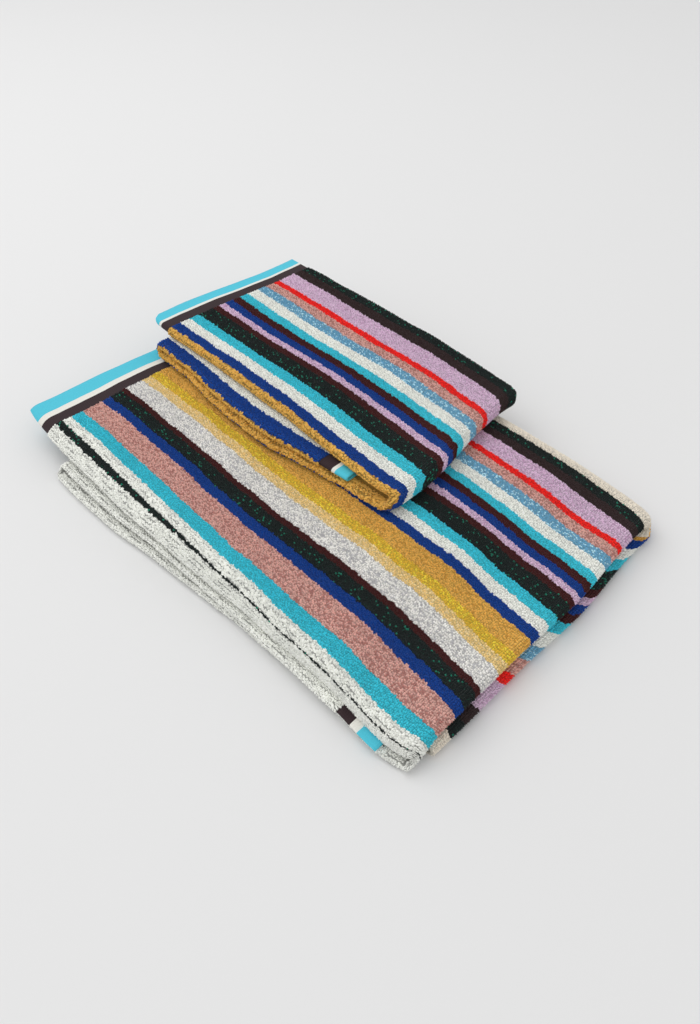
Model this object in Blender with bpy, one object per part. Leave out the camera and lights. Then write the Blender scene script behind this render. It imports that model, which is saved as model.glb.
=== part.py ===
"""A folded bath towel with a folded hand towel lying on it, in metres, +Z up.

Each towel is folded in half along its stripes and in three along its length, so that one
hem lies on top at the left end and the other is tucked into the roll at the right end.
Stripes run along X. The origin is under the middle of the whole set, on the surface
that it lies on.
"""

import math

import bmesh
import bpy

# The bath towel as folded.
BATH_LENGTH = 0.530
BATH_WIDTH = 0.350
BATH_HEIGHT = 0.036

# The hand towel as folded, and how far it reaches past the bath towel.
HAND_LENGTH = 0.385
HAND_WIDTH = 0.225
HAND_HEIGHT = 0.033
HAND_PAST_HEM_END = 0.012
HAND_PAST_FAR_SIDE = 0.013

# The flat woven hems.
BATH_HEM_DEPTH = 0.040
HAND_HEM_DEPTH = 0.034
HEM_THICKNESS = 0.005
HEM_SIDE_INSET = 0.002
HEM_EDGE_ROUND = 0.0015

# The folds of the cloth.
BATH_TURN_INSET = 0.022
HAND_TURN_INSET = 0.010
SIDE_ROUND = 0.011
TURN_ROUND = 0.008
TUCK_SPARE = 0.008
TUCK_HEIGHT = 0.009
TUCK_WALL = 0.024

CLEARANCE = 0.0004
ROUND_STEPS = 5
ROLL_STEPS = 10
CUTTER_PAST_SIDE = 0.05
SHARP_ANGLE = math.radians(40)

TERRY = ("terry_cotton", (0.80, 0.79, 0.76, 1.0), 0.95)
FLAT_WEAVE = ("flat_woven_hem", (0.10, 0.60, 0.72, 1.0), 0.80)


def clear_scene():
    for item in list(bpy.data.objects):
        bpy.data.objects.remove(item, do_unlink=True)


def make_material(name, colour, roughness):
    material = bpy.data.materials.new(name)
    material.use_nodes = True
    shader = material.node_tree.nodes["Principled BSDF"]
    shader.inputs["Base Color"].default_value = colour
    shader.inputs["Roughness"].default_value = roughness
    shader.inputs["Metallic"].default_value = 0.0
    return material


def arc(centre, radius_x, radius_z, first, last, steps):
    """Points on an elliptic arc in the XZ plane, from one angle in degrees to another."""
    angles = [math.radians(first + (last - first) * i / steps) for i in range(steps + 1)]
    return [(centre[0] + radius_x * math.cos(a), centre[1] + radius_z * math.sin(a)) for a in angles]


def body_outline(length, height, hem_depth, turn_inset):
    """Side view of the folded cloth, with X from the hem's edge: a round roll at the right
    end, a step under the hem and the turn of the lower folds at the left end."""
    half = height / 2
    shelf = height - HEM_THICKNESS - CLEARANCE
    shoulder = hem_depth + CLEARANCE
    roll = arc((length - half, half), half, half, -90, 90, ROLL_STEPS)
    step = [(shoulder, height), (shoulder, shelf)]
    turn = turn_inset + TURN_ROUND
    upper_turn = arc((turn, shelf - TURN_ROUND), TURN_ROUND, TURN_ROUND, 90, 180, ROUND_STEPS)
    lower_turn = arc((turn, TURN_ROUND), TURN_ROUND, TURN_ROUND, 180, 270, ROUND_STEPS)
    return roll + step + upper_turn + lower_turn


def hem_outline(hem_depth):
    """Side view of a hem: a flat band with a round outer edge."""
    half = HEM_THICKNESS / 2
    nose = arc((half, half), half, half, 90, 270, ROUND_STEPS)
    return nose + [(hem_depth, 0.0), (hem_depth, HEM_THICKNESS)]


def pillow(name, outline, width, side_round, material):
    """Carries a side-view outline along Y. Near each long side it shrinks in height along a
    quarter circle, which leaves the sides round."""
    low = min(z for _, z in outline)
    half = (max(z for _, z in outline) - low) / 2
    middle = low + half
    turns = [math.radians(90 * i / ROUND_STEPS) for i in range(ROUND_STEPS + 1)]
    ends = [(width / 2 - side_round * (1 - math.sin(t)), side_round * (1 - math.cos(t))) for t in turns]
    stations = [(-y, cut) for y, cut in reversed(ends)] + ends
    shape = bmesh.new()
    rings = []
    for y, cut in stations:
        share = 1 - cut / half
        rings.append([shape.verts.new((x, y, middle + (z - middle) * share)) for x, z in outline])
    for ring, following in zip(rings, rings[1:]):
        for i in range(len(ring)):
            k = (i + 1) % len(ring)
            shape.faces.new((ring[i], ring[k], following[k], following[i]))
    shape.faces.new(rings[0])
    shape.faces.new(list(reversed(rings[-1])))
    bmesh.ops.recalc_face_normals(shape, faces=shape.faces)
    mesh = bpy.data.meshes.new(name)
    shape.to_mesh(mesh)
    shape.free()
    mesh.materials.append(material)
    body = bpy.data.objects.new(name, mesh)
    bpy.context.collection.objects.link(body)
    mesh.shade_smooth()
    mesh.set_sharp_from_angle(angle=SHARP_ANGLE)
    return body


def tuck_outline(right, left, height):
    """Side view of the hollow in the roll where the tucked hem lies: a slot with round ends."""
    half = TUCK_HEIGHT / 2
    right_end = arc((right - half, height / 2), half, half, -90, 90, ROUND_STEPS)
    left_end = arc((left + half, height / 2), half, half, 90, 270, ROUND_STEPS)
    return right_end + left_end


def slab(name, outline, width):
    """A straight cutter with this side view, hidden from renders."""
    shape = bmesh.new()
    near = [shape.verts.new((x, -width / 2, z)) for x, z in outline]
    far = [shape.verts.new((x, width / 2, z)) for x, z in outline]
    for i in range(len(near)):
        k = (i + 1) % len(near)
        shape.faces.new((near[i], near[k], far[k], far[i]))
    shape.faces.new(near)
    shape.faces.new(list(reversed(far)))
    bmesh.ops.recalc_face_normals(shape, faces=shape.faces)
    mesh = bpy.data.meshes.new(name)
    shape.to_mesh(mesh)
    shape.free()
    cutter = bpy.data.objects.new(name, mesh)
    bpy.context.collection.objects.link(cutter)
    cutter.hide_render = True
    cutter.display_type = "WIRE"
    return cutter


def add_towel(prefix, length, width, height, hem_depth, turn_inset, materials, place):
    """One folded towel: its terry body, the hem on top and the hem tucked into the roll.
    place is where the middle of the hem's outer edge stands."""
    terry, flat = materials
    holder = bpy.data.objects.new(prefix + "_place", None)
    bpy.context.collection.objects.link(holder)
    holder.location = place
    side_view = body_outline(length, height, hem_depth, turn_inset)
    body = pillow(prefix, side_view, width, SIDE_ROUND, terry)
    slot_right = length - TUCK_WALL
    slot_left = slot_right - hem_depth - TUCK_SPARE
    outline = tuck_outline(slot_right, slot_left, height)
    cutter = slab(prefix + "_tuck_cutter", outline, width + 2 * CUTTER_PAST_SIDE)
    cut = body.modifiers.new("tuck", "BOOLEAN")
    cut.operation = "DIFFERENCE"
    cut.solver = "EXACT"
    cut.object = cutter
    hem_width = width - 2 * HEM_SIDE_INSET
    top = pillow(prefix + "_top_hem", hem_outline(hem_depth), hem_width, HEM_EDGE_ROUND, flat)
    top.location.z = height - HEM_THICKNESS
    tucked = pillow(prefix + "_tucked_hem", hem_outline(hem_depth), hem_width, HEM_EDGE_ROUND, flat)
    tucked.rotation_euler.z = math.pi
    tucked.location = ((slot_left + slot_right + hem_depth) / 2, 0.0, (height - HEM_THICKNESS) / 2)
    for item in (body, cutter, top, tucked):
        item.parent = holder
    return body, top, tucked


def main():
    clear_scene()
    terry = make_material(*TERRY)
    flat = make_material(*FLAT_WEAVE)
    left = -(BATH_LENGTH + HAND_PAST_HEM_END) / 2
    far = (BATH_WIDTH + HAND_PAST_FAR_SIDE) / 2
    add_towel(
        "bath_towel", BATH_LENGTH, BATH_WIDTH, BATH_HEIGHT, BATH_HEM_DEPTH, BATH_TURN_INSET, (terry, flat),
        (left + HAND_PAST_HEM_END, far - HAND_PAST_FAR_SIDE - BATH_WIDTH / 2, 0.0),
    )
    add_towel(
        "hand_towel", HAND_LENGTH, HAND_WIDTH, HAND_HEIGHT, HAND_HEM_DEPTH, HAND_TURN_INSET, (terry, flat),
        (left, far - HAND_WIDTH / 2, BATH_HEIGHT + CLEARANCE),
    )


main()
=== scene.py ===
"""A striped bath towel with its hand towel folded on top: the sheets of terry cloth, their
loops of pile, their flat woven hems, and the stage."""

import bpy
import numpy as np
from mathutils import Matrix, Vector


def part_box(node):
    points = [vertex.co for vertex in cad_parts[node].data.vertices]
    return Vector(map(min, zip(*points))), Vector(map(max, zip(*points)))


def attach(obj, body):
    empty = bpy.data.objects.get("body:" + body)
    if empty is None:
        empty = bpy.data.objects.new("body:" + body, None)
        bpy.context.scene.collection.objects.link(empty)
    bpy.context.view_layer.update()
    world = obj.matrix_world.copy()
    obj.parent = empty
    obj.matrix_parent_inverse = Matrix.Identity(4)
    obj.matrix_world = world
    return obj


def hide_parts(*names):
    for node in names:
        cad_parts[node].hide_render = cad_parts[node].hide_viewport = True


bl_info = {
    "name": "Striped Towel Set",
    "version": (1, 0, 0),
    "blender": (4, 5, 0),
    "location": "View3D > Sidebar > Towels",
    "description": "Two folded terry towels with woven stripes, loop pile and flat hems",
    "category": "Add Mesh",
}

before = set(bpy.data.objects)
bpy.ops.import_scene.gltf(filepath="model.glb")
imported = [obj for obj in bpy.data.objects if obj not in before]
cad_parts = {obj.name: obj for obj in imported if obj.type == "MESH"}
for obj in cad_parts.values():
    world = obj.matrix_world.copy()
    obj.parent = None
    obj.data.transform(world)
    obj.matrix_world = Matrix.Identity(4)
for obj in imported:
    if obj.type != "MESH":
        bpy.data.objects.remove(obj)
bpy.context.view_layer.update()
MM = 0.001


def towel_box(name):
    """The lowest and highest corners of a folded towel with its top hem."""
    low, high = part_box(name)
    hem_low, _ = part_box(f"{name}_top_hem")
    return np.minimum(low, hem_low), np.array(high)


# Where each folded towel lies: x runs along the stripes, y from the near side.
BATH_LOW, BATH_HIGH = towel_box("bath_towel")
HAND_LOW, HAND_HIGH = towel_box("hand_towel")

# The woven stripes in order from the near edge of the bath towel: yarn, width in mm.
STRIPES = (
    ("white", 20),
    ("ink", 8),
    ("white", 10),
    ("turquoise", 12.5),
    ("rose", 24.5),
    ("royal", 9.5),
    ("ink", 14),
    ("maroon", 6.5),
    ("silver", 20.5),
    ("cream", 10),
    ("yellow", 11),
    ("gold", 19),
    ("royal", 10),
    ("white", 12),
    ("turquoise", 12.5),
    ("ink", 17.5),
    ("maroon", 7.5),
    ("lilac", 7.5),
    ("royal", 8.5),
    ("maroon", 8.5),
    ("turquoise", 11),
    ("white", 13.5),
    ("steel", 11),
    ("rose", 12.5),
    ("red", 7),
    ("lilac", 20),
    ("umber", 10),
    ("ink", 10),
    ("ivory", 35),
)
FIRST_STRIPE = -14 * MM  # where the first stripe starts, across the cloth
REPEAT_FROM = 352 * MM  # past this line the bath towel's stripes start again
REPEAT_SHIFT = 204 * MM  # how far back along the row of stripes they start
REPEAT_DRAW = 0.65  # how much of the row passes for each length of cloth there


def linear(red, green, blue):
    """The linear colour of a display colour given from 0 to 255."""
    share = np.array([red, green, blue]) / 255
    value = np.where(share <= 0.04045, share / 12.92, ((share + 0.055) / 1.055) ** 2.4)
    return (*(float(v) for v in value), 1.0)


YARNS = {
    "white": (234, 235, 229),
    "ink": (20, 30, 29),
    "turquoise": (62, 196, 214),
    "rose": (217, 172, 162),
    "royal": (6, 62, 142),
    "maroon": (68, 20, 20),
    "silver": (232, 230, 226),
    "cream": (228, 200, 136),
    "yellow": (218, 182, 62),
    "gold": (222, 176, 86),
    "lilac": (216, 190, 212),
    "steel": (108, 166, 196),
    "red": (236, 34, 28),
    "umber": (52, 36, 36),
    "ivory": (228, 220, 206),
}
# The odd loops of another thread among a yarn's own: their colour, and their share of the loops.
SPECKS = {
    "ink": ((30, 125, 100), 0.05),
    "yellow": ((234, 216, 74), 0.22),
    "gold": ((198, 146, 62), 0.2),
    "cream": ((236, 216, 170), 0.3),
    "silver": ((190, 188, 190), 0.25),
    "steel": ((190, 225, 235), 0.2),
    "rose": ((180, 124, 116), 0.3),
    "lilac": ((196, 160, 190), 0.2),
}


def yarn_property(name):
    return bpy.props.FloatVectorProperty(
        name=name.capitalize(),
        description=f"Colour of the {name} yarn",
        subtype="COLOR",
        size=4,
        min=0,
        max=1,
        default=linear(*YARNS[name]),
    )


def length_property(name, description, default):
    return bpy.props.FloatProperty(
        name=name, description=description, default=default, unit="LENGTH", min=0.0001
    )


class TowelYarns(bpy.types.PropertyGroup):
    """The yarn colours of the pile."""

    white: yarn_property("white")
    ink: yarn_property("ink")
    turquoise: yarn_property("turquoise")
    rose: yarn_property("rose")
    royal: yarn_property("royal")
    maroon: yarn_property("maroon")
    silver: yarn_property("silver")
    cream: yarn_property("cream")
    yellow: yarn_property("yellow")
    gold: yarn_property("gold")
    lilac: yarn_property("lilac")
    steel: yarn_property("steel")
    red: yarn_property("red")
    umber: yarn_property("umber")
    ivory: yarn_property("ivory")
    hem_turquoise: bpy.props.FloatVectorProperty(
        name="Hem Turquoise",
        description="Colour of the hem's outer band",
        subtype="COLOR",
        size=4,
        min=0,
        max=1,
        default=linear(84, 200, 222),
    )
    hem_white: bpy.props.FloatVectorProperty(
        name="Hem White",
        description="Colour of the hem's middle band",
        subtype="COLOR",
        size=4,
        min=0,
        max=1,
        default=linear(236, 234, 226),
    )
    hem_brown: bpy.props.FloatVectorProperty(
        name="Hem Brown",
        description="Colour of the hem's inner band",
        subtype="COLOR",
        size=4,
        min=0,
        max=1,
        default=linear(54, 40, 43),
    )


class TowelSizes(bpy.types.PropertyGroup):
    """The sizes of the cloth and of its pile."""

    bath_layer: length_property("Bath Layer", "Height of a layer of the bath towel", 6 * MM)
    hand_layer: length_property("Hand Layer", "Height of a layer of the hand towel", 5.5 * MM)
    cloth: length_property("Ground Cloth", "Thickness of the cloth under the loops", 3.4 * MM)
    hem: length_property("Hem Thickness", "Thickness of the flat woven hems", 2.2 * MM)
    row: length_property("Loop Rows", "Distance between rows of loops along the stripes", 1.75 * MM)
    loop: length_property("Loop Spacing", "Distance between loops in a row", 1.45 * MM)
    loop_height: length_property("Loop Height", "How far a loop stands off the cloth", 1.4 * MM)


RIPPLES = 5
RIPPLE_SCALE = 2.6


def smoothstep(v):
    """0 below 0, 1 above 1, and 3v^2 - 2v^3 between."""
    v = np.clip(v, 0, 1)
    return v * v * (3 - 2 * v)


def ease_in(v, start, reach):
    """0 up to start, and 1 from start plus reach on, by smoothstep."""
    return smoothstep((v - start) / reach)


def ease_out(v, stop, reach):
    """1 up to stop less reach, and 0 from stop on, by smoothstep."""
    return smoothstep((stop - v) / reach)


def hump(v, middle, spread):
    """1 at the middle, falling off on both sides as exp(-d^2), where d is counted in spreads."""
    return np.exp(-(((v - middle) / spread) ** 2))


def rounded_off(share):
    """1 - sqrt(1 - share^2): how far a round corner falls back as share goes from 0 to 1."""
    share = np.clip(share, 0, 1)
    return 1 - np.sqrt(1 - share**2)


def ripple(x, y, wave, seed):
    """A smooth field from about -1 to 1: the sum of five plane waves of about this wavelength,
    at seeded angles and phases, over RIPPLE_SCALE."""
    rng = np.random.default_rng(seed)
    angle = rng.uniform(0, 2 * np.pi, RIPPLES)
    phase = rng.uniform(0, 2 * np.pi, RIPPLES)
    pace = 2 * np.pi / (wave * rng.uniform(0.7, 1.5, RIPPLES))
    total = sum(
        np.sin(k * (x * np.cos(a) + y * np.sin(a)) + p)
        for k, a, p in zip(pace, angle, phase)
    )
    return total / RIPPLE_SCALE


class LetterFold:
    """A strip folded in three along its length: the top run goes right, rolls down to the
    bottom run, which goes back left and turns up into the middle run."""

    def __init__(self, start, roll, turn, end, gap):
        self.start, self.roll, self.turn, self.end, self.gap = start, roll, turn, end, gap
        self.top_end = roll - start
        self.roll_end = self.top_end + np.pi * gap
        self.bottom_end = self.roll_end + roll - turn
        self.turn_end = self.bottom_end + np.pi * gap / 2
        self.length = self.turn_end + end - turn

    def path(self, s, skew=0.0):
        """x and z of the strip's middle at the length s, and its outer normal. The runs lie 2.5,
        0.5 and 1.5 gaps up, the roll has a radius of one gap, and the turn of half a gap. skew
        moves the turn further left."""
        gap = self.gap
        a = (s - self.top_end) / gap
        b = (s - self.bottom_end - skew) / (gap / 2)
        turn, turn_end = self.turn - skew, self.turn_end + skew
        parts = [s < self.top_end, s < self.roll_end, s < self.bottom_end + skew, s < turn_end]
        one = np.ones_like(s)
        x = np.select(
            parts,
            [
                self.start + s,
                self.roll + gap * np.sin(a),
                self.roll - (s - self.roll_end),
                turn - gap / 2 * np.sin(b),
            ],
            turn + (s - turn_end) * (self.end - turn) / (self.length - turn_end),
        )
        z = np.select(
            parts,
            [
                2.5 * gap * one,
                1.5 * gap + gap * np.cos(a),
                0.5 * gap * one,
                gap - gap / 2 * np.cos(b),
            ],
            1.5 * gap,
        )
        nx = np.select(parts, [0 * one, np.sin(a), 0 * one, -np.sin(b)], 0.0)
        nz = np.select(parts, [one, np.cos(a), -one, -np.cos(b)], 1.0)
        return x, z, nx, nz


class BathFold:
    """The bath towel: folded in three along its stripes, then in half over its far side."""

    near, far = -6 * MM, 655 * MM  # the cloth's two long edges
    inner_turn, tucked_end = 85 * MM, 502 * MM  # from the left end of the folded towel
    recess = 33 * MM  # how far the lower half's edge stays behind the near side
    skew = 62 * MM  # how much further left the inner turn lies away from the near side
    crease = (-20 * MM, 22 * MM)  # where the cloth bends hard along its stripes
    edge_radius = 14 * MM  # of the top run's bend at the near side
    thin_stripe = ((-14, 10.5, 12, 24, 1000), (-14, 6, 14, 24, 1000))  # mm: as woven, as drawn

    def __init__(self, sizes):
        self.low, self.high = BATH_LOW, BATH_HIGH
        self.gap = sizes.bath_layer
        length = self.high[0] - self.low[0]
        self.fold = LetterFold(
            0, length - 1.5 * self.gap, self.inner_turn, self.tucked_end, self.gap
        )
        self.width = self.high[1] - self.low[1]
        self.crest = self.width - 3 * self.gap

    def point(self, s, t, n):
        """World place of the point s along the cloth, t across it and n off its outer face. The
        letter fold gives x and a height over the lengthwise fold. Past the crest line that
        height is the radius of a half turn, and the cloth comes back under itself. Near the
        front edge the top run bends over a quarter round, and the runs under it settle on the
        floor."""
        gap = self.gap
        x, middle, nx, nz = self.fold.path(s, self.skew * ease_in(t, 10 * MM, 120 * MM))
        right = ease_in(x, 150 * MM, 300 * MM)
        t = t + 8 * MM * right * ease_out(t, 20 * MM, 26 * MM)
        x = x + n * nx
        rise = middle + n * nz
        bend = np.clip((t - self.crest) / middle, 0, np.pi)
        beyond = self.far - self.crest - np.pi * middle
        tail = np.maximum(t - self.crest - np.pi * middle, 0) * (self.crest - self.recess) / beyond
        y = np.where(t < self.crest, t, self.crest + rise * np.sin(bend) - tail)
        z = 3 * gap + rise * np.cos(bend)
        y_top, z_top = self.top_run(x, t, rise, y, z, right)
        y_low, z_low = self.lower_runs(x, t, middle, y, z, right)
        topness = smoothstep(middle / gap - 1.5)
        y = topness * y_top + (1 - topness) * y_low
        z = topness * z_top + (1 - topness) * z_low
        # Both corners at the rolled end are rounded off.
        roll = self.fold.roll
        near_corner = rounded_off((x - roll + 20 * MM) / (32 * MM))
        y = y + 14 * MM * near_corner * ease_out(y, 60 * MM, 60 * MM)
        far_corner = rounded_off((x - roll + 34 * MM) / (48 * MM))
        y = y - 15 * MM * far_corner * smoothstep((y - self.width + 80 * MM) / (80 * MM))
        # The lower half reaches a little further at the rolled end, and the far corner less.
        lower = smoothstep((t - self.crest) / middle - np.pi / 2)
        x = x + 4 * MM * lower * ease_in(x, 350 * MM, 150 * MM)
        x = x - 5 * MM * ease_in(y, 200 * MM, 150 * MM) * x / roll
        return self.settle(x, y, z)

    def top_run(self, x, t, rise, y, z, right):
        """The top run's y and z: from a line near the edge the cloth goes round a quarter of a
        circle, and what is left hangs straight down. The line lies further in to the right, and
        further out at the left end."""
        left = np.exp(-np.maximum(x, 0) / (26 * MM))
        radius = self.edge_radius
        bend_from = 12 * MM + 17 * MM * right - 9 * MM * left
        over = np.clip((bend_from - t) / radius, 0, np.pi / 2)
        hang = np.maximum(bend_from - t - radius * np.pi / 2, 0)
        lift = rise - 2.5 * self.gap
        y_top = np.where(t < bend_from, bend_from - (radius + lift) * np.sin(over), y)
        z_bent = 5.5 * self.gap - radius + (radius + lift) * np.cos(over) - hang
        z_top = np.where(t < bend_from, z_bent, z)
        return y_top + 7 * MM * left * ease_out(t, 80 * MM, 80 * MM), z_top

    def lower_runs(self, x, t, middle, y, z, right):
        """The other runs' y and z: they slide apart at the near side and drop to the floor."""
        lowness = smoothstep(1.5 - middle / self.gap)
        slide = 2 * MM + 9 * MM * hump(x, 120 * MM, 100 * MM) - 9 * MM * right
        slide = slide - (7 - 10 * right) * MM * (1 - lowness)
        drop = lowness * 16.5 * MM + (1 - lowness) * (13 * MM + 4 * MM * right)
        y_low = y - slide * ease_out(t, 70 * MM, 70 * MM)
        return y_low, z - drop * ease_out(t, 48 * MM, 42 * MM)

    def drawn(self, s, t):
        """t as the stripes have it: the thin stripe near the edge narrows towards the rolled
        end, and the stripes of the lower half are wider."""
        woven, narrowed = (np.array(places) * MM for places in self.thin_stripe)
        narrow = np.interp(t, woven, narrowed)
        again = (1 - REPEAT_DRAW) * np.maximum(t - REPEAT_FROM, 0)
        return t - again + (narrow - t) * ease_in(s, 80 * MM, 280 * MM)

    def settle(self, x, y, z):
        """Moves the cloth a little in its plane, so that the stripes wander, and lets its upper
        face sink where the cloth is slack."""
        share = z / (6 * self.gap)
        inside = smoothstep(y / (60 * MM)), ease_out(y, self.width, 60 * MM)
        y = y + 2.2 * MM * ripple(x, y, 240 * MM, 3) * inside[0] * inside[1]
        y = y + 0.7 * MM * ripple(x, y, 55 * MM, 4)
        x = x + 1.5 * MM * ripple(x, y, 150 * MM, 5)
        slope = 8 * MM * ease_in(x, 420 * MM, 100 * MM)
        z = z - share * (bath_sink(x, y) + slope)
        return x + self.low[0], y + self.low[1], z


def bath_sink(x, y):
    """How far the bath towel's upper face lies under its full height: 1.4 mm on average, with
    slow waves."""
    return MM * (1.4 + 0.9 * ripple(x, y, 160 * MM, 6) + 0.3 * ripple(x, y, 45 * MM, 7))


class HandFold:
    """The hand towel: folded in half along its stripes with the crest at the near side, then in
    three."""

    crest = 147 * MM  # the line of the half fold, across the cloth
    crest_shift = 4 * MM  # how much further across it lies on the lower runs
    inset = 26 * MM  # how far the crest of the top run stays behind the near side
    inner_turn, tucked_end = 38 * MM, 331 * MM  # from the left end of the folded towel
    inner_short = 6 * MM  # how much the inner half is narrower
    draw = 0.055  # how much wider than on the bath towel the stripes are

    def __init__(self, sizes):
        self.low, self.high = HAND_LOW, HAND_HIGH
        self.layer = sizes.hand_layer
        gap = 2 * self.layer
        length = self.high[0] - self.low[0]
        self.fold = LetterFold(0, length - 1.5 * gap, self.inner_turn, self.tucked_end, gap)
        half = self.high[1] - self.low[1] - self.inset
        self.near, self.far = self.crest - half + self.inner_short, self.crest + half
        self.crease = (self.crest - 8 * MM, self.crest + 8 * MM)

    def point(self, s, t, n):
        """World place of the point s along the cloth, t across it and n off its outer face. The
        cloth goes half round the crest line, which gives a distance from the strip's middle,
        and the letter fold carries the strip at that distance. The lower runs slide towards the
        near side."""
        radius = self.layer / 2
        x, middle, nx, nz = self.fold.path(s)
        under = smoothstep((2.2 - middle / self.fold.gap) / 0.7)
        off = t - self.crest - self.crest_shift * under
        bend = np.clip(off / radius, -np.pi / 2, np.pi / 2)
        past = np.maximum(np.abs(off) - radius * np.pi / 2, 0)
        y = self.inset + radius - (radius + n) * np.cos(bend) + past
        across = (radius + n) * np.sin(bend)
        x = x + across * nx
        z = middle + across * nz
        # Both near corners are rounded off.
        left_corner = rounded_off(1 - x / (14 * MM))
        y = y + 7 * MM * left_corner * ease_out(y, 70 * MM, 50 * MM)
        right_corner = rounded_off((x - self.fold.roll + 16 * MM) / (30 * MM))
        y = y + 12 * MM * right_corner * ease_out(y, 60 * MM, 60 * MM)
        bulge = hump(x, 190 * MM, 130 * MM)
        lowest = smoothstep(1.3 - middle / self.fold.gap)
        end = ease_in(x, 220 * MM, 120 * MM)
        slide = under * (14 * MM - 8 * MM * end + 11 * MM * bulge + 4 * MM * lowest * bulge)
        y = y - slide * ease_out(y, 130 * MM, 130 * MM)
        return self.settle(x, y, z)

    def drawn(self, s, t):
        """t as the stripes have it: a little wider than the bath towel's, and the last dark
        ones, near the far edge, wider still."""
        edge = 5 * MM * ease_in(t, 300 * MM, 46 * MM)
        return t - self.draw * np.maximum(t - self.crest, 0) - edge

    def settle(self, x, y, z):
        """Moves the cloth a little in its plane, sinks its upper face where it is slack, and
        lays it on the bath towel."""
        share = z / (6 * self.layer)
        far = ease_in(y, 60 * MM, 150 * MM)
        x = x - 6 * MM * x / self.fold.roll + far * (9 * MM - 26 * MM * x / self.fold.roll)
        y = y + 2.0 * MM * ripple(x, y, 210 * MM, 13) + 0.6 * MM * ripple(x, y, 50 * MM, 14)
        x = x + 1.2 * MM * ripple(x, y, 140 * MM, 15)
        slope = 10 * MM * ease_in(x, 230 * MM, 140 * MM)
        z = z - share * (slope + MM * (1.3 + 0.8 * ripple(x, y, 130 * MM, 16)))
        x, y = x + self.low[0], y + self.low[1]
        base = bath_sink(x - BATH_LOW[0], y - BATH_LOW[1])
        return x, y, z + self.low[2] - base * (1 - 0.4 * share)


def spaced(*parts):
    """Values from part to part: each part is (from, to, step)."""
    lines = [
        np.linspace(a, b, max(2, int(round((b - a) / step)) + 1))[:-1] for a, b, step in parts
    ]
    return np.concatenate([*lines, [parts[-1][1]]])


def new_piece(name, points, faces, cloth, material):
    """A mesh object at the origin, smooth, with the cloth coordinates of each vertex in the UV
    map cloth."""
    mesh = bpy.data.meshes.new(name)
    mesh.from_pydata(points.reshape(-1, 3), [], faces)
    corner = np.empty(len(mesh.loops), np.int32)
    mesh.loops.foreach_get("vertex_index", corner)
    layer = mesh.uv_layers.new(name="cloth")
    layer.uv.foreach_set("vector", cloth[corner].astype(np.float32).ravel())
    mesh.polygons.foreach_set("use_smooth", np.full(len(mesh.polygons), True))
    mesh.materials.append(material)
    mesh.validate()
    obj = bpy.data.objects.new(name, mesh)
    bpy.context.scene.collection.objects.link(obj)
    return obj


def sheet_mesh(name, fold, along, across, thick, material):
    """A closed sheet of cloth: the outer face at plus half its thickness and the inner at minus
    half, with a half-round edge along both sides and flat ends, carried through the fold's
    point function."""
    half = thick / 2
    edge = np.array([0.25, 0.5, 0.75]) * np.pi
    count = len(across)
    t = np.concatenate(
        [across, across[-1] + half * np.sin(edge), across[::-1], across[0] - half * np.sin(edge)]
    )
    n = np.concatenate(
        [np.full(count, half), half * np.cos(edge), np.full(count, -half), -half * np.cos(edge)]
    )
    s_grid, t_grid = np.meshgrid(along, t, indexing="ij")
    x, y, z = fold.point(s_grid, t_grid, np.broadcast_to(n, s_grid.shape))
    points = np.stack([x, y, z], -1).reshape(-1, 3)
    cloth = np.stack([s_grid, fold.drawn(s_grid, t_grid)], -1).reshape(-1, 2)
    rows, ring = s_grid.shape
    i, j = np.meshgrid(np.arange(rows - 1), np.arange(ring), indexing="ij")
    nxt = (j + 1) % ring
    walls = np.stack([i * ring + j, (i + 1) * ring + j, (i + 1) * ring + nxt, i * ring + nxt], -1)
    # Each end is closed by quads from the outer face to the inner, and a triangle in each round.
    order = np.arange(ring)
    upper = np.concatenate([[order[-1]], order[: count + 1]])
    lower = np.concatenate([[order[-3]], order[count + 3 : 2 * count + 3][::-1], [count + 2]])
    lower = lower[: len(upper)]
    lid = np.stack([upper[:-1], upper[1:], lower[1:], lower[:-1]], -1)
    tips = np.array([[count, count + 1, count + 2], [ring - 3, ring - 2, ring - 1]])
    base = (rows - 1) * ring
    faces = [*walls.reshape(-1, 4).tolist(), *lid.tolist(), *tips.tolist()]
    faces += [*(lid[:, ::-1] + base).tolist(), *(tips[:, ::-1] + base).tolist()]
    return new_piece(name, points, faces, cloth, material)


# The sides of a sheet that loops can stand on, and how the loops vary.
OUTER, INNER, NEAR_EDGE, FAR_EDGE = 1, -1, 2, 3
PARTED_EVERY = 3  # in a crease, one line of loops in this many parts here and there
PARTED_LENGTH = 34 * MM  # from the start of one parting to the next
CREASE_FULLNESS = 1.3  # how much wider the loops spread in a crease
LOOP_SINK = 0.3 * MM  # how deep a loop's foot stands in the cloth
TUFT_CORNERS = np.array([0.25, 0.75, 1.25, 1.75]) * np.pi
TUFT_SIDES = np.array([[0, 1, 4], [1, 2, 4], [2, 3, 4], [3, 0, 4]])
TUFT_FOOT = np.array([[3, 2, 1, 0]])


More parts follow.
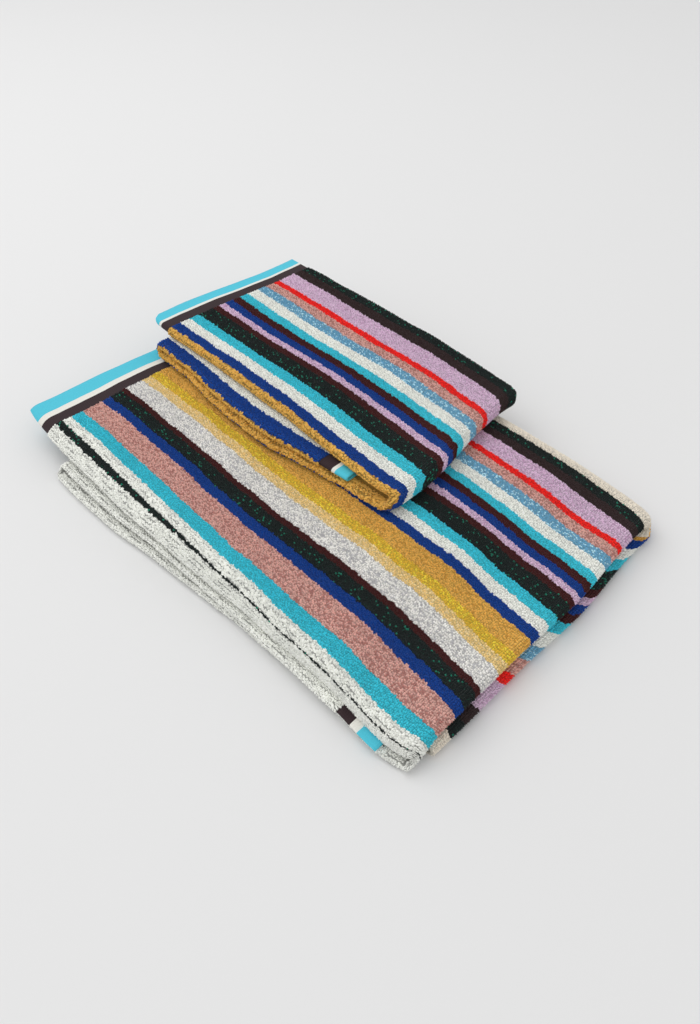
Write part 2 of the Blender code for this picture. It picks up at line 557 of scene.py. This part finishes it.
def loop_mesh(name, fold, sizes, patches, seed, material):
    """The loops of pile on patches of a sheet: (s from, s to, t from, t to, side) each, where
    side is OUTER, INNER, NEAR_EDGE or FAR_EDGE, and on an edge t runs round it. Rows of
    four-sided tufts stand on the cloth, each a little off its place, turned, and leaning its
    own way, and the fold's point function carries their corners. A tuft's cloth coordinates are
    those of its root, so one yarn colours all of it."""
    rng = np.random.default_rng(seed)
    roots = []
    for s0, s1, t0, t1, side in patches:
        s_grid, t_grid = np.meshgrid(
            np.arange(s0, s1, sizes.row), np.arange(t0, t1, sizes.loop), indexing="ij"
        )
        t_grid = t_grid + (np.arange(len(s_grid)) % 2)[:, None] * sizes.loop / 2
        roots.append(np.stack([s_grid.ravel(), t_grid.ravel(), np.full(s_grid.size, side)], -1))
    roots = np.concatenate(roots)
    # Where the cloth bends hard along its stripes, some lines of loops part here and there.
    line = np.round(roots[:, 1] / sizes.loop).astype(int)
    phase = rng.uniform(0, 2 * np.pi, 1024)[line % 1024]
    wave = np.sin(roots[:, 0] * 2 * np.pi / PARTED_LENGTH + phase)
    gap = (line % PARTED_EVERY == 0) & (wave > 0.1)
    creased = (roots[:, 1] > fold.crease[0]) & (roots[:, 1] < fold.crease[1])
    kept = ~(gap & creased & (np.abs(roots[:, 2]) == 1))
    roots, creased = roots[kept], creased[kept]
    count = len(roots)
    s = roots[:, 0] + rng.normal(0, 0.12, count) * sizes.row
    t = roots[:, 1] + rng.normal(0, 0.2, count) * sizes.loop
    side = roots[:, 2]
    turn = rng.uniform(-0.5, 0.5, (count, 1)) + TUFT_CORNERS
    fullness = np.where(creased, CREASE_FULLNESS, 1.0)[:, None]
    size = rng.uniform(0.85, 1.15, (count, 1)) * fullness
    reach_s, reach_t = 0.72 * sizes.row * size, 0.78 * sizes.loop * size
    corner_s = s[:, None] + reach_s * np.cos(turn)
    facing = np.where((side == OUTER) | (side == FAR_EDGE), 1, -1)[:, None]
    corner_t = t[:, None] + facing * reach_t * np.sin(turn)
    ground = sizes.cloth / 2
    tall = sizes.loop_height * rng.uniform(0.7, 1.15, count)
    top_s = s + rng.normal(0, 0.25, count) * sizes.row
    top_t = t + rng.normal(0, 0.25, count) * sizes.loop
    all_s = np.concatenate([corner_s, top_s[:, None]], 1)
    all_t = np.concatenate([corner_t, top_t[:, None]], 1)
    feet = np.full((count, 4), ground - LOOP_SINK)
    all_n = np.concatenate([feet, (ground + tall)[:, None]], 1)
    on_edge = np.isin(side, (NEAR_EDGE, FAR_EDGE))
    edge = np.where(side == NEAR_EDGE, fold.near, fold.far)
    outward = np.where(side == NEAR_EDGE, -1, 1)[:, None] * all_n
    edge_t = edge[:, None] + outward * np.sin(all_t / ground)
    edge_n = all_n * np.cos(all_t / ground)
    x, y, z = fold.point(
        all_s,
        np.where(on_edge[:, None], edge_t, all_t),
        np.where(on_edge[:, None], edge_n, all_n * side[:, None]),
    )
    points = np.stack([x, y, z], -1).reshape(-1, 3)
    cloth_t = fold.drawn(s, np.where(on_edge, edge, t))
    cloth = np.repeat(np.stack([s, cloth_t], -1), 5, 0)
    first = 5 * np.arange(count)[:, None]
    faces = (first[:, :, None] + TUFT_SIDES[None]).reshape(-1, 3).tolist()
    faces += (first + TUFT_FOOT).tolist()
    return new_piece(name, points, faces, cloth, material)


class Shader:
    """Short names for adding nodes to one material."""

    def __init__(self, name):
        self.material = bpy.data.materials.new(name)
        self.material.use_nodes = True
        self.tree = self.material.node_tree
        self.surface = self.tree.nodes["Principled BSDF"]

    def node(self, kind, **settings):
        made = self.tree.nodes.new(kind)
        for key, value in settings.items():
            setattr(made, key, value)
        return made

    def link(self, output, target):
        self.tree.links.new(output, target)

    def math(self, operation, *values):
        made = self.node("ShaderNodeMath", operation=operation)
        for k, value in enumerate(values):
            if isinstance(value, bpy.types.NodeSocket):
                self.link(value, made.inputs[k])
            else:
                made.inputs[k].default_value = value
        return made.outputs[0]

    def mix(self, factor, one, two, blend="MIX"):
        made = self.node("ShaderNodeMix", data_type="RGBA", blend_type=blend)
        for value, k in ((factor, 0), (one, 6), (two, 7)):
            if isinstance(value, bpy.types.NodeSocket):
                self.link(value, made.inputs[k])
            else:
                made.inputs[k].default_value = value
        return made.outputs[2]

    def ramp(self, value, stops):
        """Flat bands of colour: each stop is (from, colour)."""
        made = self.node("ShaderNodeValToRGB")
        made.color_ramp.interpolation = "CONSTANT"
        elements = made.color_ramp.elements
        while len(elements) > 1:
            elements.remove(elements[-1])
        elements[0].position, elements[0].color = stops[0]
        for place, colour in stops[1:]:
            elements.new(place).color = colour
        self.link(value, made.inputs[0])
        return made


def stripe_stops(colours):
    """The stripes as stops from 0 to 1 over their whole width."""
    widths = np.array([width for _, width in STRIPES], float)
    starts = np.concatenate([[0], np.cumsum(widths)[:-1]]) / widths.sum()
    return [(float(a), tuple(colours[yarn])) for a, (yarn, _) in zip(starts, STRIPES)]


GROUND_DEPTH = 0.62  # the cloth between the loops lies in their shade
LOOP_DEPTH = 1.12
CREASE_SHADE = 0.35  # painted shade: how much darker the ground is where lines of loops part
FRAY, FRAY_LENGTH = 1.5 * MM, 5 * MM  # how far the edge of a stripe wanders, and over what length
GRAIN = 0.5 * MM  # the size of the squares that each have their own shade
TWIST = 1.1 * MM  # the length of the yarn's twist


def terry_material(name, yarns, depth, crease=None):
    """Striped terry yarn: the stripe under each point's cloth coordinates, its edge frayed by
    noise, each loop a little lighter or darker, with the odd loop of another thread and a fine
    twist in the bump. Between the two lines of crease, across the cloth, it is darker: painted
    shade where lines of loops part."""
    shader = Shader(name)
    surface = shader.surface
    cloth = shader.node("ShaderNodeUVMap", uv_map="cloth").outputs[0]
    apart = shader.node("ShaderNodeSeparateXYZ")
    shader.link(cloth, apart.inputs[0])
    fray = shader.node("ShaderNodeTexNoise", noise_dimensions="2D")
    fray.inputs["Scale"].default_value = 1 / FRAY_LENGTH
    fray.inputs["Detail"].default_value = 3
    shader.link(cloth, fray.inputs["Vector"])
    shift = shader.math("MULTIPLY_ADD", fray.outputs["Fac"], 2 * FRAY, -FRAY)
    across = shader.math("ADD", apart.outputs[1], shift)
    past = shader.math("GREATER_THAN", across, REPEAT_FROM)
    again = shader.math("MULTIPLY", past, -REPEAT_SHIFT)
    across = shader.math("ADD", across, again)
    total = sum(width for _, width in STRIPES) * MM
    place = shader.math("DIVIDE", shader.math("SUBTRACT", across, FIRST_STRIPE), total)
    colours = {yarn: np.array(getattr(yarns, yarn)) for yarn in YARNS}
    specks = {yarn: (0, 0, 0, 0) for yarn in YARNS}
    for yarn, (colour, share) in SPECKS.items():
        specks[yarn] = (*linear(*colour)[:3], share)
    base = shader.ramp(place, stripe_stops(colours)).outputs[0]
    speck = shader.ramp(place, stripe_stops(specks))
    grain = shader.node("ShaderNodeTexWhiteNoise", noise_dimensions="2D")
    coarse = shader.node("ShaderNodeVectorMath", operation="SNAP")
    coarse.inputs[1].default_value = (GRAIN, GRAIN, 1)
    shader.link(cloth, coarse.inputs[0])
    shader.link(coarse.outputs[0], grain.inputs["Vector"])
    odd = shader.math("LESS_THAN", grain.outputs["Value"], speck.outputs["Alpha"])
    base = shader.mix(odd, base, speck.outputs["Color"])
    slow = shader.node("ShaderNodeTexNoise", noise_dimensions="2D")
    slow.inputs["Scale"].default_value = 1 / (40 * MM)
    shader.link(cloth, slow.inputs["Vector"])
    shade = shader.node("ShaderNodeSeparateColor")
    shader.link(grain.outputs["Color"], shade.inputs[0])
    tone = shader.math("MULTIPLY_ADD", shade.outputs[1], 0.30, 0.83)
    tone = shader.math("MULTIPLY_ADD", slow.outputs["Fac"], 0.12, tone)
    tone = shader.math("MULTIPLY", tone, depth)
    # painted shade: the ground between the crease lines is darkened where lines of loops part
    if crease:
        middle, half = (crease[0] + crease[1]) / 2, (crease[1] - crease[0]) / 2
        inside = shader.math("COMPARE", apart.outputs[1], middle, half)
        darker = shader.math("MULTIPLY_ADD", inside, -CREASE_SHADE, 1.0)
        tone = shader.math("MULTIPLY", tone, darker)
    grey = shader.node("ShaderNodeCombineColor")
    for k in range(3):
        shader.link(tone, grey.inputs[k])
    base = shader.mix(1.0, base, grey.outputs[0], "MULTIPLY")
    shader.link(base, surface.inputs["Base Color"])
    surface.inputs["Roughness"].default_value = 0.92
    surface.inputs["Sheen Weight"].default_value = 0.08
    surface.inputs["Sheen Roughness"].default_value = 0.5
    surface.inputs["Specular IOR Level"].default_value = 0.25
    twist = shader.node("ShaderNodeTexNoise")
    twist.inputs["Scale"].default_value = 1 / TWIST
    twist.inputs["Detail"].default_value = 2
    where = shader.node("ShaderNodeTexCoord").outputs["Object"]
    shader.link(where, twist.inputs["Vector"])
    bump = shader.node("ShaderNodeBump")
    bump.inputs["Strength"].default_value = 0.6
    bump.inputs["Distance"].default_value = 0.6 * MM
    shader.link(twist.outputs["Fac"], bump.inputs["Height"])
    shader.link(bump.outputs[0], surface.inputs["Normal"])
    return shader.material


def hem_material(name, yarns, length, bands):
    """Flat woven tape: bands of colour by the distance from the nearer end of the cloth, with a
    fine rib across each thread and a soft shine. bands is (where each band starts, its
    yarn)."""
    shader = Shader(name)
    surface = shader.surface
    cloth = shader.node("ShaderNodeUVMap", uv_map="cloth").outputs[0]
    apart = shader.node("ShaderNodeSeparateXYZ")
    shader.link(cloth, apart.inputs[0])
    span = 64 * MM
    stops = [(start / span, tuple(getattr(yarns, yarn))) for start, yarn in bands]
    wobble = shader.node("ShaderNodeTexNoise", noise_dimensions="2D")
    wobble.inputs["Scale"].default_value = 1 / (30 * MM)
    shader.link(cloth, wobble.inputs["Vector"])
    other = shader.math("SUBTRACT", length, apart.outputs[0])
    inward = shader.math("MINIMUM", apart.outputs[0], other)
    inward = shader.math("MULTIPLY_ADD", wobble.outputs["Fac"], 1.6 * MM, inward)
    base = shader.ramp(shader.math("DIVIDE", inward, span), stops).outputs[0]
    grain = shader.node("ShaderNodeTexNoise", noise_dimensions="2D")
    grain.inputs["Scale"].default_value = 1 / (1.6 * MM)
    shader.link(cloth, grain.inputs["Vector"])
    tone = shader.math("MULTIPLY_ADD", grain.outputs["Fac"], 0.16, 0.9)
    grey = shader.node("ShaderNodeCombineColor")
    for k in range(3):
        shader.link(tone, grey.inputs[k])
    base = shader.mix(1.0, base, grey.outputs[0], "MULTIPLY")
    shader.link(base, surface.inputs["Base Color"])
    surface.inputs["Roughness"].default_value = 0.8
    surface.inputs["Sheen Weight"].default_value = 0.06
    surface.inputs["Specular IOR Level"].default_value = 0.2
    rib = shader.node("ShaderNodeTexWave", bands_direction="X")
    rib.inputs["Scale"].default_value = 1 / (6.5 * MM)
    rib.inputs["Distortion"].default_value = 0.6
    shader.link(cloth, rib.inputs["Vector"])
    pick = shader.node("ShaderNodeTexWave", bands_direction="Y")
    pick.inputs["Scale"].default_value = 1 / (5 * MM)
    shader.link(cloth, pick.inputs["Vector"])
    height = shader.math("MULTIPLY_ADD", pick.outputs["Fac"], 0.5, rib.outputs["Fac"])
    bump = shader.node("ShaderNodeBump")
    bump.inputs["Strength"].default_value = 0.5
    bump.inputs["Distance"].default_value = 0.25 * MM
    shader.link(height, bump.inputs["Height"])
    shader.link(bump.outputs[0], surface.inputs["Normal"])
    return shader.material


BATH_HEM, HAND_HEM = 42 * MM, 33 * MM  # how far each hem reaches from the end of its cloth
HEM_TUCK = 3 * MM  # how far a hem reaches into the pile cloth


def add_hems(fold, sizes, yarns, prefix, depth, turquoise, white, across):
    """Both hems of a towel, as thin sheets that start inside the pile cloth."""
    end = fold.fold.length
    bands = ((0.0, "hem_turquoise"), (turquoise, "hem_white"), (white, "hem_brown"))
    material = hem_material(f"{prefix}_hem_weave", yarns, end, bands)
    made = []
    for name, a, b in (("top", 0, depth + HEM_TUCK), ("tucked", end - depth - HEM_TUCK, end)):
        along = spaced((a, b, 2.5 * MM))
        piece = sheet_mesh(f"{prefix}_hem_{name}", fold, along, across, sizes.hem, material)
        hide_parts(f"{prefix}_towel_{name}_hem")
        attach(piece, f"{prefix}_towel")
        made.append(piece)
    return made


def add_loops(fold, sizes, prefix, patches, seed, material):
    """A towel's loops: a piece for each entry of patches, each with a seed of its own."""
    made = []
    for k, (name, parts) in enumerate(patches.items()):
        piece = loop_mesh(name, fold, sizes, parts, seed + k, material)
        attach(piece, f"{prefix}_towel")
        made.append(piece)
    return made


class TOWEL_OT_bath(bpy.types.Operator):
    """Folds the bath towel's sheet, with its loops and hems"""

    bl_idname = "towel.make_bath"
    bl_label = "Make Bath Towel"

    def execute(self, context):
        sizes, yarns = context.scene.towel_sizes, context.scene.towel_yarns
        fold = BathFold(sizes)
        letter = fold.fold
        turn_end = letter.turn_end + fold.skew
        hem_start = letter.length - BATH_HEM
        crest_end = fold.crest + 48 * MM  # where the cloth has gone round the crest
        along = spaced(
            (BATH_HEM, letter.top_end, 3.6 * MM),
            (letter.top_end, letter.roll_end, 1.5 * MM),
            (letter.roll_end, letter.bottom_end, 9 * MM),
            (letter.bottom_end, turn_end, 2 * MM),
            (turn_end, hem_start, 9 * MM),
        )
        across = spaced(
            (fold.near, 14 * MM, 1.8 * MM),
            (14 * MM, fold.crest, 3.8 * MM),
            (fold.crest, crest_end, 2.4 * MM),
            (crest_end, fold.far, 9 * MM),
        )
        ground = terry_material("bath_terry_ground", yarns, GROUND_DEPTH, fold.crease)
        sheet = sheet_mesh("bath_terry", fold, along, across, sizes.cloth, ground)
        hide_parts("bath_towel")
        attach(sheet, "bath_towel")
        hem_across = spaced(
            (fold.near, 20 * MM, 2 * MM),
            (20 * MM, fold.crest, 9 * MM),
            (fold.crest, crest_end, 2.4 * MM),
            (crest_end, fold.far, 12 * MM),
        )
        hems = add_hems(fold, sizes, yarns, "bath", BATH_HEM, 20 * MM, 28 * MM, hem_across)
        pile = terry_material("bath_terry_loops", yarns, LOOP_DEPTH)
        edge = BATH_HEM + sizes.row / 2
        third = (letter.top_end - edge) / 3
        round_edge = np.pi * sizes.cloth / 2
        over, far = fold.crest + 8 * MM, fold.crest + 46 * MM  # just over the crest, and round it
        patches = {
            "bath_loops_left": [(edge, edge + third, fold.near, far, OUTER)],
            "bath_loops_middle": [(edge + third, edge + 2 * third, fold.near, far, OUTER)],
            "bath_loops_right": [
                (edge + 2 * third, letter.roll_end, fold.near, over, OUTER),
                (edge + 2 * third, letter.top_end, over, far, OUTER),
            ],
            "bath_loops_under": [
                (letter.top_end, letter.roll_end, over, fold.far, OUTER),
                (letter.roll_end, letter.bottom_end, fold.near, 6 * MM, OUTER),
                (edge, hem_start, 0, round_edge, NEAR_EDGE),
                (letter.roll_end, letter.bottom_end, fold.near, 26 * MM, INNER),
                (letter.turn_end, hem_start, fold.near, 12 * MM, OUTER),
            ],
            "bath_loops_turn": [
                (letter.bottom_end, letter.turn_end, fold.near, 30 * MM, OUTER),
                (letter.bottom_end + 10 * MM, turn_end, 30 * MM, fold.far, OUTER),
            ],
        }
        loops = add_loops(fold, sizes, "bath", patches, 40, pile)
        return {"FINISHED"}


class TOWEL_OT_hand(bpy.types.Operator):
    """Folds the hand towel's sheet, with its loops and hems"""

    bl_idname = "towel.make_hand"
    bl_label = "Make Hand Towel"

    def execute(self, context):
        sizes, yarns = context.scene.towel_sizes, context.scene.towel_yarns
        fold = HandFold(sizes)
        letter = fold.fold
        hem_start = letter.length - HAND_HEM
        round_off = 8 * MM  # from the crest line to where the cloth is flat again
        along = spaced(
            (HAND_HEM, letter.top_end, 3.6 * MM),
            (letter.top_end, letter.roll_end, 1.7 * MM),
            (letter.roll_end, letter.bottom_end, 5 * MM),
            (letter.bottom_end, letter.turn_end, 1.5 * MM),
            (letter.turn_end, hem_start, 5 * MM),
        )
        across = spaced(
            (fold.near, fold.crest - round_off, 7 * MM),
            (fold.crest - round_off, fold.crest + round_off, 1.0 * MM),
            (fold.crest + round_off, fold.far, 3.8 * MM),
        )
        ground = terry_material("hand_terry_ground", yarns, GROUND_DEPTH, fold.crease)
        sheet = sheet_mesh("hand_terry", fold, along, across, sizes.cloth, ground)
        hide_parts("hand_towel")
        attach(sheet, "hand_towel")
        hem_across = spaced(
            (fold.near, fold.crest - round_off, 9 * MM),
            (fold.crest - round_off, fold.crest + round_off, 1.0 * MM),
            (fold.crest + round_off, fold.far, 9 * MM),
        )
        hems = add_hems(fold, sizes, yarns, "hand", HAND_HEM, 15 * MM, 19 * MM, hem_across)
        pile = terry_material("hand_terry_loops", yarns, LOOP_DEPTH)
        edge = HAND_HEM + sizes.row / 2
        round_edge = np.pi * sizes.cloth / 2
        near, far = fold.crest - 7 * MM, fold.crest + 30 * MM
        patches = {
            "hand_loops_left": [(edge, letter.top_end / 2, near, fold.far, OUTER)],
            "hand_loops_right": [(letter.top_end / 2, letter.roll_end, near, fold.far, OUTER)],
            "hand_loops_under": [
                (letter.roll_end, letter.bottom_end, near, far, OUTER),
                (letter.bottom_end, letter.turn_end, near, fold.far, OUTER),
                (letter.turn_end, hem_start, near, far, OUTER),
            ],
            "hand_loops_edge": [
                (edge, hem_start, 0, round_edge, NEAR_EDGE),
                (edge, hem_start, 0, round_edge, FAR_EDGE),
            ],
        }
        loops = add_loops(fold, sizes, "hand", patches, 60, pile)
        return {"FINISHED"}


class TOWEL_OT_stage(bpy.types.Operator):
    """Adds the floor, the soft light and the camera"""

    bl_idname = "towel.make_stage"
    bl_label = "Make Stage"

    def execute(self, context):
        scene = context.scene
        floor_mesh = bpy.data.meshes.new("floor")
        side = 12.0  # half the floor's width
        corners = [(-side, -side, 0), (side, -side, 0), (side, side, 0), (-side, side, 0)]
        floor_mesh.from_pydata(corners, [], [(0, 1, 2, 3)])
        floor = bpy.data.objects.new("floor", floor_mesh)
        scene.collection.objects.link(floor)
        shader = Shader("pale_floor")
        shader.surface.inputs["Base Color"].default_value = (0.80, 0.80, 0.80, 1)
        shader.surface.inputs["Roughness"].default_value = 0.9
        floor_mesh.materials.append(shader.material)

        scene.view_settings.view_transform = "Standard"
        world = bpy.data.worlds.new("studio")
        scene.world = world
        world.use_nodes = True
        back = world.node_tree.nodes["Background"]
        back.inputs["Color"].default_value = (1, 1, 1, 1)
        back.inputs["Strength"].default_value = 0.80
        lamp = bpy.data.lights.new("softbox", "AREA")
        lamp.shape, lamp.size, lamp.energy = "SQUARE", 2.4, 20
        softbox = bpy.data.objects.new("softbox", lamp)
        softbox.location = (-1.3, -0.5, 2.2)
        softbox.rotation_euler = (-softbox.location).to_track_quat("-Z", "Y").to_euler()
        scene.collection.objects.link(softbox)

        lens = bpy.data.cameras.new("camera")
        lens.lens = 30.9
        lens.shift_y = -0.14
        lens.clip_start = 0.01
        camera = bpy.data.objects.new("camera", lens)
        camera.location = Vector(BATH_LOW) + Vector((0.7393, -0.2455, 0.6042))
        azimuth, elevation = np.radians(46.45), np.radians(36.48)
        forward = Vector(
            (
                -np.sin(azimuth) * np.cos(elevation),
                np.cos(azimuth) * np.cos(elevation),
                -np.sin(elevation),
            )
        )
        camera.rotation_euler = forward.to_track_quat("-Z", "Y").to_euler()
        scene.collection.objects.link(camera)
        scene.camera = camera
        return {"FINISHED"}


class TOWEL_PT_panel(bpy.types.Panel):
    """The towel set's sizes, yarns and pieces"""

    bl_label = "Towel Set"
    bl_idname = "TOWEL_PT_panel"
    bl_space_type = "VIEW_3D"
    bl_region_type = "UI"
    bl_category = "Towels"

    def draw(self, context):
        for group in (context.scene.towel_sizes, context.scene.towel_yarns):
            for key in group.bl_rna.properties.keys():
                if key not in ("rna_type", "name"):
                    self.layout.prop(group, key)
        for operator in (TOWEL_OT_bath, TOWEL_OT_hand, TOWEL_OT_stage):
            self.layout.operator(operator.bl_idname)


CLASSES = (TowelYarns, TowelSizes, TOWEL_OT_bath, TOWEL_OT_hand, TOWEL_OT_stage, TOWEL_PT_panel)


def register():
    for cls in CLASSES:
        bpy.utils.register_class(cls)
    bpy.types.Scene.towel_yarns = bpy.props.PointerProperty(type=TowelYarns)
    bpy.types.Scene.towel_sizes = bpy.props.PointerProperty(type=TowelSizes)


def unregister():
    del bpy.types.Scene.towel_sizes
    del bpy.types.Scene.towel_yarns
    for cls in reversed(CLASSES):
        bpy.utils.unregister_class(cls)


def main():
    register()
    bpy.ops.towel.make_bath()
    bpy.ops.towel.make_hand()
    bpy.ops.towel.make_stage()


if __name__ == "__main__":
    main()
